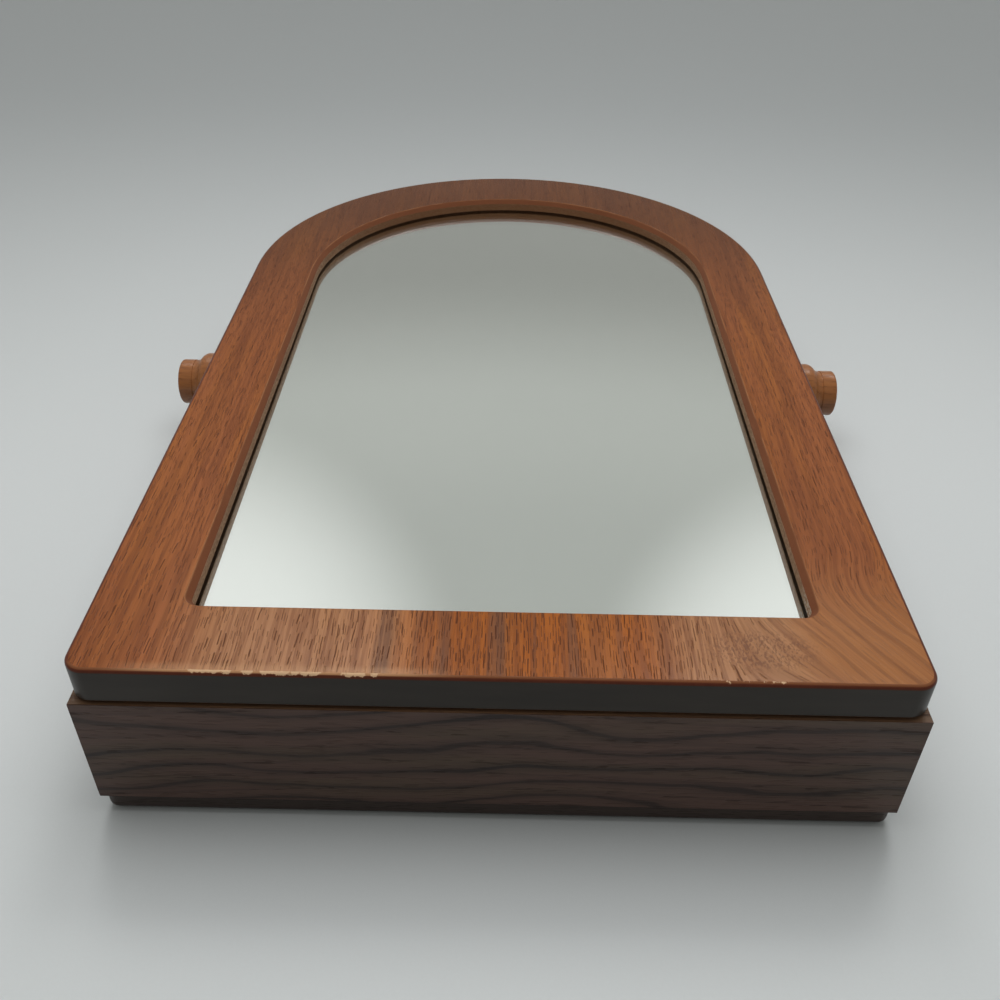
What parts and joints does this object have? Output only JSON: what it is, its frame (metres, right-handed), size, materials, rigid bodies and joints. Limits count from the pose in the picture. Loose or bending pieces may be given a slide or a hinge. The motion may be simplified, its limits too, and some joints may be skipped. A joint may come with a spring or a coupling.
{
  "type": "arched mirror jewellery cabinet",
  "caption": "Shallow arched wooden jewellery case whose mirror door hinges up from one long side, with turned clamp knobs on its sides and a lined, divided inside.",
  "frame": {"origin": "centre of the whole object's box on the plane that the back rests on, with the case lying on its back", "axes": "+Y towards the arched end (up when the case stands), +Z out of the mirror (up as it lies), X from knob to knob"},
  "size_m": [0.3674, 0.4772, 0.077],
  "materials": {
    "door_oak": "satin lacquered oak veneer, orange-brown stain, dark painted edge",
    "case_oak": "dark walnut-stained oak, satin",
    "inner_wood": "stained wood, thin satin lacquer",
    "knob_wood": "turned hardwood, orange-brown stain, satin",
    "mirror": "silvered float glass",
    "velvet": "short-pile burgundy velvet",
    "card": "brown hardboard",
    "brass": "brass plated, satin",
    "steel": "zinc-plated steel",
    "catch_plastic": "brown moulded plastic",
    "magnet": "sintered ferrite",
    "bumper_felt": "brown felt dots"
  },
  "bodies": {
    "case": {"back_board": "case_oak", "back_screws": "steel", "end_board": "case_oak", "left_side": "case_oak", "right_side": "case_oak", "arch_wall": "case_oak", "splice_blocks": "inner_wood", "back_lining": "velvet", "shelf": "inner_wood", "cell_dividers": "inner_wood", "pocket_rail": "inner_wood", "chain_rail": "inner_wood", "bay_divider": "inner_wood", "hook_rail": "inner_wood", "necklace_hooks": "brass", "ring_card": "card", "ring_rolls": "velvet", "hinge_case_leaves": "brass", "hinge_pins": "brass", "catch_housing": "catch_plastic", "catch_magnet": "magnet", "rim_bumpers": "bumper_felt", "left_washer": "steel", "right_washer": "steel", "left_insert": "brass", "right_insert": "brass"},
    "mirror_door": {"mirror_frame": "door_oak", "mirror_glass": "mirror", "mirror_backing": "card", "backing_felt": "velvet", "turn_clips": "steel", "hinge_door_leaves": "brass", "strike_plate": "steel"},
    "left_clamp": {"left_knob": "knob_wood", "left_stud": "steel"},
    "right_clamp": {"right_knob": "knob_wood", "right_stud": "steel"}
  },
  "joints": [
    {"name": "door_hinge", "type": "hinge", "parent": "case", "child": "mirror_door", "pos_m": [-0.1516, 0, 0.0624], "axis": [0, -1, 0], "range_deg": [0, 120]},
    {"name": "left_clamp_turn", "type": "hinge", "parent": "case", "child": "left_clamp", "pos_m": [-0.15, 0.0231, 0.034], "axis": [-1, 0, 0], "continuous": true},
    {"name": "right_clamp_turn", "type": "hinge", "parent": "case", "child": "right_clamp", "pos_m": [0.15, 0.0231, 0.034], "axis": [1, 0, 0], "continuous": true}
  ]
}
